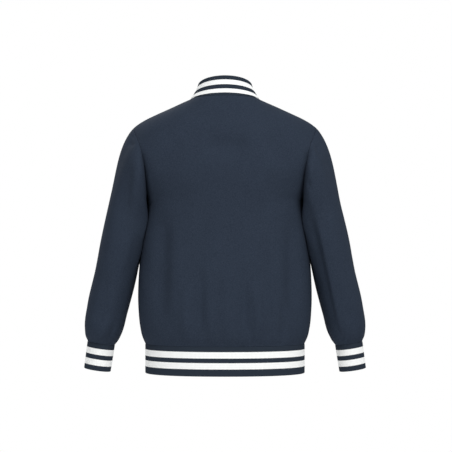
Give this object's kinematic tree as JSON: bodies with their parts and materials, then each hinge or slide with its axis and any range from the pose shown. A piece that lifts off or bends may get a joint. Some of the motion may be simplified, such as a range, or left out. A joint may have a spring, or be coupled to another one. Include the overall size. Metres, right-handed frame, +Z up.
{
  "type": "varsity jacket filled out as worn, on no form",
  "caption": "Plain felt snap-front jacket filled out as worn, with striped rib collar, cuffs and hem band, open at neck, hem and cuffs.",
  "frame": {"origin": "the middle of the neck opening, halfway in height between the nape seam and the neck ends of the shoulder seams, where the wearer's neck holds the jacket up", "axes": "+Z up, -Y to the front of the jacket, +X to the wearer's left"},
  "size_m": [0.728, 0.292, 0.7599],
  "materials": {
    "felt": "matt navy felted wool-blend cloth",
    "rib": "navy rib knit with two white stripes",
    "snap": "satin navy enamel"
  },
  "bodies": {
    "root": {"back": "felt", "front_left": "felt", "front_right": "felt", "sleeve_left": "felt", "sleeve_right": "felt", "collar": "rib", "cuff_left": "rib", "cuff_right": "rib", "hem_band": "rib", "snap_cap_1": "snap", "snap_cap_2": "snap", "snap_cap_3": "snap", "snap_cap_4": "snap", "snap_cap_5": "snap", "snap_cap_6": "snap", "snap_cap_7": "snap", "snap_back_1": "snap", "snap_back_2": "snap", "snap_back_3": "snap", "snap_back_4": "snap", "snap_back_5": "snap", "snap_back_6": "snap", "snap_back_7": "snap"}
  },
  "joints": []
}
